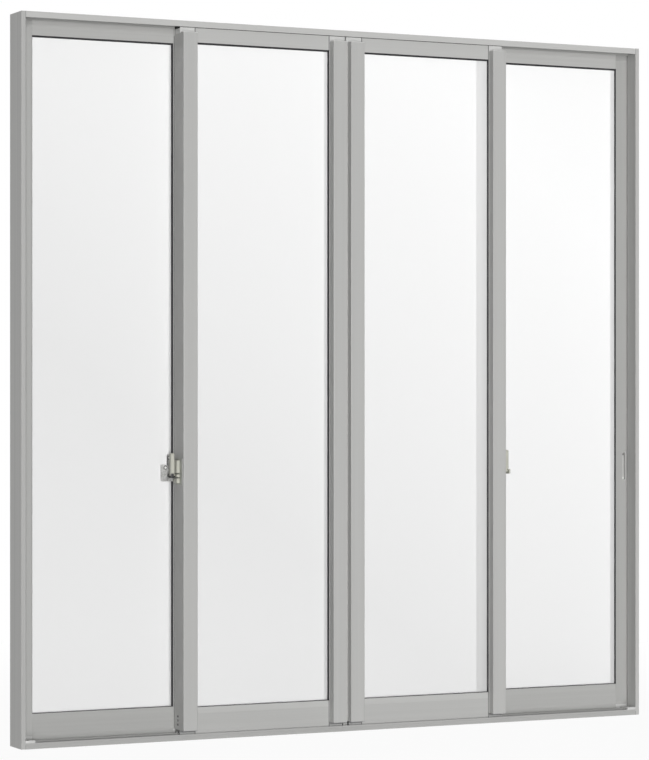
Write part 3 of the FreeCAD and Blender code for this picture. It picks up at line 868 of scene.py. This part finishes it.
class PATIODOOR_OT_plugs(bpy.types.Operator):
    """Close the fins' hollow ends by plastic plugs, and give the sill's bumpers their noses"""

    bl_idname = "patiodoor.plugs"
    bl_label = "Fin Plugs and Bumper Noses"

    def execute(self, context):
        finishes = context.scene.door_finishes
        lower = (finishes.plug_colour, LOWER_HALF)
        plastic = make_grained("plug_plastic", finishes.cap_colour, 0.5, tints=(lower,))
        light = make_grained("bumper_plastic", finishes.cap_colour, 0.5, uneven=0.1)
        for side, sign in SIDES.items():
            plugs = fin_plugs(side, sign)
            add_piece(f"{side}_fin_plugs", plugs, (plastic,), f"{side}_centre_panel")
        add_piece("bumper_noses", bumper_noses(), (light,), "frame")
        return {"FINISHED"}


def fin_plugs(side, sign):
    """Plates over both ends of both fins of a centre panel."""
    low, high = limits(f"{side}_centre_meeting_stile")
    outer = side_of(f"{side}_centre_meeting_stile", sign)
    inner = side_of(f"{side}_centre_middle_stile", -sign) + sign * FIN_INSET
    spans = (sorted((outer, outer - sign * FIN_WIDTH)), sorted((inner, inner + sign * FIN_WIDTH)))
    ys = (low[1], limits(f"{side}_centre_stile_caps")[0][1])
    heights = ((low[2] - 0.0008, low[2] + 0.0002), (high[2], high[2] + 0.0025))
    return [rounded_plate(*zip(xs, ys, zs)) for xs in spans for zs in heights]


def bumper_noses():
    """Rounded blocks from the bumpers' fronts to just past the sill's front."""
    stops_low, stops_high = limits("sill_stops")
    front, rear = limits("sill")[0][1] - 0.0002, stops_low[1] + 0.0005
    seat = WATER_BAR[1] - 0.0015
    noses = []
    for wall, inward in ((stops_low[0], 1.0), (stops_high[0], -1.0)):
        xs = sorted((wall, wall + inward * BUMPER_LENGTH))
        low, high = zip(xs, (front, rear), (seat, stops_high[2]))
        noses.append(rounded_plate(low, high, corner=0.0015, edge=0.0008))
    return noses


def rounded_plate(low, high, normal=Z_AXIS, corner=0.0022, edge=0.0005):
    """Plate with rounded corners across one axis, whose two faces are inset by the edge.

    A ring is centre_k + r (cos t, sin t) at corner k, where r is the corner's radius, less the inset.
    """
    first, second = [axis for axis in range(3) if axis != normal]
    steps = 6
    turn = np.linspace(0.0, math.pi / 2.0, steps)
    angles = np.concatenate([turn + quarter * math.pi / 2.0 for quarter in range(4)])
    right, left = high[first] - corner, low[first] + corner
    top, bottom = high[second] - corner, low[second] + corner
    radii = np.array([corner - edge, corner, corner, corner - edge])[:, None]
    levels = np.array([low[normal], low[normal] + edge, high[normal] - edge, high[normal]])[:, None]
    rings = np.empty((4, len(angles), 3))
    rings[..., first] = np.repeat((right, left, left, right), steps) + radii * np.cos(angles)
    rings[..., second] = np.repeat((top, top, bottom, bottom), steps) + radii * np.sin(angles)
    rings[..., normal] = levels
    return closed_tube(rings)


class PATIODOOR_OT_screws(bpy.types.Operator):
    """Add the cross-recessed screws of the stiles, keepers and finger pulls"""

    bl_idname = "patiodoor.screws"
    bl_label = "Screws"

    def execute(self, context):
        finishes = context.scene.door_finishes
        sizes = (context.scene.door_details.screw_radius, context.scene.door_details.screw_height)
        # Painted shade: the upper screw of each pull is darkened, the lower one left plated steel
        upper = (finishes.cam_black_and_shade_colour, {Z_AXIS: (0.82, 1.0)})
        steel = make_grained("screw_steel", finishes.screw_colour, 0.35, metallic=0.3)
        black = make_grained("screw_black", finishes.dark_screw_colour, 0.4)
        pull_steel = make_grained("pull_screw_steel_and_shade", finishes.screw_colour, 0.35, tints=(upper,))
        for side, sign in SIDES.items():
            heads = stile_screws(side, sign, *sizes)
            add_piece(f"{side}_stile_screws", heads, (black,), f"{side}_centre_panel")
            heads, cups = keeper_screws(side, sign, *sizes)
            add_piece(f"{side}_keeper_screws", heads, (steel,), f"{side}_end_panel")
            add_piece(f"{side}_keeper_washers", cups, (black,), f"{side}_end_panel")
            heads = pull_screws(side, *sizes)
            add_piece(f"{side}_pull_screws", heads, (pull_steel,), f"{side}_end_panel")
        return {"FINISHED"}


def stile_screws(side, sign, radius, height):
    """Screws low on a meeting stile's outer side."""
    outer = side_of(f"{side}_centre_meeting_stile", sign)
    small = 0.9 * radius
    return [screw_head((outer, y, z), X_AXIS, sign, small, height, turn) for y, z, turn in STILE_SCREWS]


def keeper_screws(side, sign, radius, height):
    """Screws of a keeper, and the cup washers round them."""
    front = limits(f"{side}_end_keeper")[0][1]
    small, flat = 0.9 * radius, 0.9 * height
    heads, cups = [], []
    for x, z, turn in KEEPER_SCREWS:
        seat = (sign * x, front, z)
        heads.append(screw_head(seat, Y_AXIS, -1.0, small, flat, turn))
        cups.append(cup_washer(seat, small, 1.5 * radius, 0.3 * height))
    return heads, cups


def pull_screws(side, radius, height):
    """Screws in the floor of a finger pull, near both ends."""
    low, high = limits(f"{side}_end_finger_pull")
    middle, floor = (low[0] + high[0]) / 2.0, high[1] - PULL_WALL
    small, inset = 0.95 * radius, 0.0075
    places = ((low[2] + inset, 0.2), (high[2] - inset, 0.7))
    return [screw_head((middle, floor, z), Y_AXIS, -1.0, small, height, turn) for z, turn in places]


def cup_washer(seat, inner, outer, height):
    """Ring about Y.

    Its section is half an ellipse, r = a + b cos t and h sin t off its seat, with t from 0 to 180 degrees.
    """
    sunk = 0.0001
    turn = np.linspace(0.0, math.pi, 7)
    around = np.linspace(0.0, 2.0 * math.pi, 40, endpoint=False)
    t, angle = np.meshgrid(turn, around, indexing="ij")
    r = (inner + outer) / 2.0 + (outer - inner) / 2.0 * np.cos(t)
    x, z = seat[0] + r * np.cos(angle), seat[2] + r * np.sin(angle)
    return closed_ring(np.stack([x, seat[1] + sunk - height * np.sin(t), z], axis=2))


def screw_head(seat, axis, sign, radius, height, turn):
    """Pan head with a cross recess, on a polar grid.

    The top is h(r) = H sqrt(1 - (r / R)^6) less the recess, which is deepest at the middle and fades out
    where both |p| and |q|, the distances from the cross's arms, pass the arm's half width.
    """
    rings = radius * np.linspace(0.05, 1.0, 18)
    around = np.linspace(0.0, 2.0 * math.pi, 48, endpoint=False)
    r, angle = np.meshgrid(rings, around, indexing="ij")
    p, q = np.abs(r * np.cos(angle + turn)), np.abs(r * np.sin(angle + turn))
    half, reach, soft = 0.15 * radius, 0.58 * radius, 0.1 * radius
    depth, sunk = 0.6 * height, 0.0002

    def short_of(edge, value):
        """1 where a value is short of an edge and 0 past it, with a soft step."""
        return np.clip((edge - value) / soft + 0.5, 0.0, 1.0)

    cross = np.maximum(short_of(half, p) * short_of(reach, q), short_of(half, q) * short_of(reach, p))
    top = height * np.sqrt(1.0 - np.minimum(r / radius, 1.0) ** 6) - depth * cross
    up = sign * np.concatenate([top, np.full((1, len(around)), -sunk)])
    across = np.concatenate([r, r[-1:]])
    turned = np.concatenate([angle, angle[-1:]])
    axes = [None, None, None]
    axes[axis] = seat[axis] + up
    first, second = [k for k in range(3) if k != axis]
    axes[first] = seat[first] + across * np.cos(turned)
    axes[second] = seat[second] + across * np.sin(turned)
    return closed_tube(np.stack(axes, axis=2))


class PATIODOOR_OT_keepers(bpy.types.Operator):
    """Add the raised rims round the keepers' slots, the strips above them and the cups behind them"""

    bl_idname = "patiodoor.keepers"
    bl_label = "Keeper Rims, Strips and Cups"

    def execute(self, context):
        cast = make_keeper_cast(context.scene.door_finishes)
        for side in SIDES:
            pieces = {"rim": keeper_rim(side), "strip": keeper_strip(side), "cup": keeper_cup(side)}
            for piece, part in pieces.items():
                add_piece(f"{side}_keeper_{piece}", [part], (cast,), f"{side}_end_panel")
        return {"FINISHED"}


def keeper_slot(side):
    """Slot in a keeper, from the lever's cam and hinge: x low, x high, z low, z high."""
    outer, height = side_of(f"{side}_centre_latch_lever", SIDES[side]), hinge_place(side)[2]
    low, high = sorted((outer, outer - SIDES[side] * CAM_THICKNESS))
    return (
        low - KEEPER_SIDE_GAP, high + KEEPER_SIDE_GAP,
        height - KEEPER_SLOT_HALF_HEIGHT, height + KEEPER_SLOT_HALF_HEIGHT,
    )


def keeper_rim(side):
    """Ridge round a slot: u = -a + b cos t and c sin t off the keeper's front, t from 0 to 180 degrees."""
    front = limits(f"{side}_end_keeper")[0][1]
    margin, half, rise = 0.0018, 0.0014, 0.0008
    turn = np.linspace(0.0, math.pi, 11)
    ridge = np.stack([half * np.cos(turn) - margin, front - rise * np.sin(turn)], axis=1)
    return closed_ring(around_rectangle(keeper_slot(side), ridge))


def keeper_strip(side):
    """Thin strip up a keeper's front, between its screws."""
    low, high = limits(f"{side}_end_keeper")
    xs = sorted(SIDES[side] * x for x in (0.5825, 0.5868))
    ys, zs = (low[1], high[1] - 0.0005), (0.8385, high[2] - 0.0025)
    return rounded_plate(*zip(xs, ys, zs), Y_AXIS, 0.0018)


def keeper_cup(side):
    """Tray behind a slot, whose walls stand round it."""
    front = limits(f"{side}_end_keeper")[1][1]
    depth, wall, floor = 0.0034, 0.001, 0.0008
    rear = front + depth
    tray = np.array([(-wall, rear), (-wall, front), (0.0, front), (0.0, rear - floor)])
    return closed_tube(around_rectangle(keeper_slot(side), tray).transpose(1, 0, 2))


class PATIODOOR_OT_fittings(bpy.types.Operator):
    """Finish the caps, feet, stops, rollers, latches, keepers and finger pulls"""

    bl_idname = "patiodoor.fittings"
    bl_label = "Fittings"

    def execute(self, context):
        finishes = context.scene.door_finishes
        foot_top = limits("left_centre_meeting_stile")[0][2]
        feet = (finishes.foot_colour, LOWER_HALF)
        # Painted shadow: the feet's tops, just under the fins, darkened as the fins' shadow
        necks = (finishes.fin_shadow_colour, {Z_AXIS: (foot_top - 0.0076, foot_top + 0.001)})
        # Painted shade on the end caps and painted light on their feet
        end_feet_lit = (finishes.end_foot_lit_colour, LOWER_HALF)
        centre = (finishes.centre_stop_colour, {X_AXIS: (-0.1, 0.1)})
        caps = make_grained("cap_plastic", finishes.cap_colour, 0.5, tints=(feet, necks))
        end_caps = make_grained("end_cap_plastic_shaded_and_lit", finishes.end_cap_shaded_colour, 0.5, tints=(end_feet_lit,))
        stops = make_grained(
            "stop_plastic", finishes.cap_colour, 0.5, tints=(centre,), patch=0.006, uneven=0.15
        )
        # Painted light: the pulls lighter than their stiles, against the shade in their recess
        pulls = make_grained("pull_paint", finishes.pull_paint_and_light_colour, 0.4)
        rollers = make_grained("roller_plastic", finishes.roller_colour, 0.45)
        dress(["sill_stops"], stops)
        dress([panel + "_rollers" for panel in PANELS], rollers)
        dress([side + "_centre_stile_caps" for side in SIDES], caps)
        dress([side + "_end_stile_caps" for side in SIDES], end_caps)
        dress([side + "_end_finger_pull" for side in SIDES], pulls)
        dress([side + "_end_keeper" for side in SIDES], make_keeper_cast(finishes))
        dress_latches(finishes)
        return {"FINISHED"}


def dress_latches(finishes):
    """Paint the levers and covers, and tint the plates, cams, hubs and pins.

    The left lever is black below its hinge and ahead of its handle, and the right one is so only on its outer
    side: partly the cam's blackened steel and partly painted shadow of the gap under the lever.
    """
    paint, black = finishes.latch_colour, finishes.cam_black_and_shade_colour
    stile = limits("right_centre_meeting_stile")[1][0]
    low, high = limits("right_centre_latch_lever")
    hinge = hinge_place("right")
    margin = 0.001
    handle = (hinge[1] - 0.0181, hinge[1] - 0.0029)
    plate = (finishes.plate_colour, {X_AXIS: (stile - margin, stile + 0.0021)})
    # Painted shade: the front edges of the latch plates and covers darkened
    plate_front_shade = (finishes.foot_colour, {Y_AXIS: (hinge[1] - 0.05, hinge[1] - 0.0415)})
    pin = (black, {X_AXIS: (high[0] + 0.0001, high[0] + 0.01)})
    outer_side = {X_AXIS: (high[0] - 0.0003, high[0] + margin)}
    # Painted shadow of the gap under the lever, with the cam's own black: below the hinge and ahead of the
    # handle
    below = {Z_AXIS: (low[2] - margin, hinge[2] + 0.0001)}
    ahead = {Y_AXIS: (low[1] - margin, handle[0])}
    behind = {Y_AXIS: (handle[1], high[1] + margin)}
    bases = make_grained("latch_base_paint", paint, 0.4, tints=(plate, plate_front_shade, pin))
    for side in SIDES:
        reach = {} if side == "left" else outer_side
        tints = [(black, bounds) for bounds in ({**reach, **below}, {**reach, **ahead}, behind)]
        lever = make_grained(f"{side}_latch_lever_paint", paint, 0.4, tints=tints)
        dress([f"{side}_centre_latch_base"], bases)
        dress([f"{side}_centre_latch_lever"], lever)


# Studio


class PATIODOOR_OT_stage(bpy.types.Operator):
    """Set the pale floor, the white surroundings, the lamps and the camera"""

    bl_idname = "patiodoor.stage"
    bl_label = "Studio"

    def execute(self, context):
        stage = context.scene.door_stage
        context.scene.view_settings.view_transform = "Standard"
        add_floor()
        add_surroundings(stage.ambient)
        # Three key lamps above each other light the front as one tall soft lamp
        for name, elevation, share in (("upper", 14.0, 0.3), ("middle", 0.0, 0.4), ("lower", -14.0, 0.3)):
            add_lamp(f"{name}_key_lamp", -18.5, elevation, 12.0, share * stage.key_strength)
        for side, sign in SIDES.items():
            add_lamp(f"{side}_lamp", sign * 95.0, 8.0, 8.0, stage.side_strength)
        add_lamp("rear_lamp", 160.0, 2.0, 24.0, stage.rear_strength).visible_transmission = False
        add_lamp("top_lamp", -26.0, 70.0, 50.0, stage.top_strength).visible_glossy = False
        add_camera()
        return {"FINISHED"}


def shown_directly(tree):
    """1 for rays from the camera, by reflection and through glass, 0 for light that only shines on things."""
    path = add_node(tree, "ShaderNodeLightPath")
    seen = maths(tree, "MAXIMUM", path.outputs["Is Camera Ray"], path.outputs["Is Glossy Ray"])
    return maths(tree, "MAXIMUM", seen, path.outputs["Is Transmission Ray"])


def add_floor():
    """Pale floor that shows white far off and keeps a soft shadow near the door."""
    reach, level = 60.0, -0.001
    mesh = bpy.data.meshes.new("floor")
    corners = [(x * reach, y * reach, level) for x, y in ((-1, -1), (1, -1), (1, 1), (-1, 1))]
    mesh.from_pydata(corners, [], [(0, 1, 2, 3)])
    material, tree, shader = new_finish("pale_floor")
    feed(tree, shader, {"Base Color": (0.45, 0.45, 0.45, 1.0), "Roughness": 0.9})
    white = add_node(tree, "ShaderNodeEmission")
    place = add_node(tree, "ShaderNodeTexCoord")
    away = add_node(tree, "ShaderNodeVectorMath", {0: place.outputs["Object"]}, operation="LENGTH")
    share = ranged(tree, away.outputs["Value"], (1.5, 3.5), (0.95, 1.0))
    share = maths(tree, "MULTIPLY", share, shown_directly(tree))
    mixed = add_node(tree, "ShaderNodeMixShader", {0: share, 1: shader.outputs[0], 2: white.outputs[0]})
    tree.links.new(mixed.outputs[0], tree.nodes["Material Output"].inputs["Surface"])
    mesh.materials.append(material)
    floor = bpy.data.objects.new("floor", mesh)
    bpy.context.scene.collection.objects.link(floor)
    floor.visible_shadow = False


def add_surroundings(ambient):
    """World that is white where it shows and dimmer where it only lights the door."""
    world = bpy.data.worlds.new("white_studio")
    world.use_nodes = True
    tree = world.node_tree
    level = ranged(tree, shown_directly(tree), (0.0, 1.0), (ambient, 1.0))
    feed(tree, tree.nodes["Background"], {"Color": (1.0, 1.0, 1.0, 1.0), "Strength": level})
    bpy.context.scene.world = world


def add_lamp(name, azimuth, elevation, spread, energy):
    """Far soft lamp: azimuth is turned from -Y towards +X, and spread is how wide it looks, in degrees."""
    lamp = bpy.data.lights.new(name, "SUN")
    lamp.angle = math.radians(spread)
    lamp.energy = energy
    made = bpy.data.objects.new(name, lamp)
    made.rotation_euler = (math.radians(90.0 - elevation), 0.0, math.radians(azimuth))
    bpy.context.scene.collection.objects.link(made)
    return made


def add_camera():
    """Level camera to the left of the door, turned to the right."""
    camera = bpy.data.cameras.new("camera")
    camera.lens = 136.41
    camera.sensor_width = 36.0
    camera.shift_y = 0.0202
    camera.clip_end = 200.0
    made = bpy.data.objects.new("camera", camera)
    made.location = (-4.0275, -8.1463, 1.0547)
    made.rotation_euler = (math.radians(90.0), 0.0, math.radians(-26.012))
    bpy.context.scene.collection.objects.link(made)
    bpy.context.scene.camera = made


# Add-on


class PATIODOOR_PT_sidebar(bpy.types.Panel):
    """Settings and steps of the patio door"""

    bl_idname = "PATIODOOR_PT_sidebar"
    bl_label = "Patio Door"
    bl_space_type = "VIEW_3D"
    bl_region_type = "UI"
    bl_category = "Patio Door"

    def draw(self, context):
        for group in (context.scene.door_finishes, context.scene.door_details, context.scene.door_stage):
            box = self.layout.box()
            for name in group.__annotations__:
                box.prop(group, name)
        for step in STEPS:
            self.layout.operator(step.bl_idname)


STEPS = (
    PATIODOOR_OT_extrusions, PATIODOOR_OT_glass, PATIODOOR_OT_gaskets, PATIODOOR_OT_piles, PATIODOOR_OT_seals,
    PATIODOOR_OT_plugs, PATIODOOR_OT_screws, PATIODOOR_OT_keepers, PATIODOOR_OT_fittings, PATIODOOR_OT_stage,
)
CLASSES = (DoorFinishes, DoorDetails, DoorStage, *STEPS, PATIODOOR_PT_sidebar)


def register():
    """Register the classes and hang the settings on the scene."""
    for cls in CLASSES:
        bpy.utils.register_class(cls)
    bpy.types.Scene.door_finishes = PointerProperty(type=DoorFinishes)
    bpy.types.Scene.door_details = PointerProperty(type=DoorDetails)
    bpy.types.Scene.door_stage = PointerProperty(type=DoorStage)


def unregister():
    """Take the settings and the classes away again."""
    del bpy.types.Scene.door_stage
    del bpy.types.Scene.door_details
    del bpy.types.Scene.door_finishes
    for cls in reversed(CLASSES):
        bpy.utils.unregister_class(cls)


def main():
    """Run the steps in order."""
    register()
    bpy.ops.patiodoor.extrusions()
    bpy.ops.patiodoor.glass()
    bpy.ops.patiodoor.gaskets()
    bpy.ops.patiodoor.piles()
    bpy.ops.patiodoor.seals()
    bpy.ops.patiodoor.plugs()
    bpy.ops.patiodoor.screws()
    bpy.ops.patiodoor.keepers()
    bpy.ops.patiodoor.fittings()
    bpy.ops.patiodoor.stage()


if __name__ == "__main__":
    main()
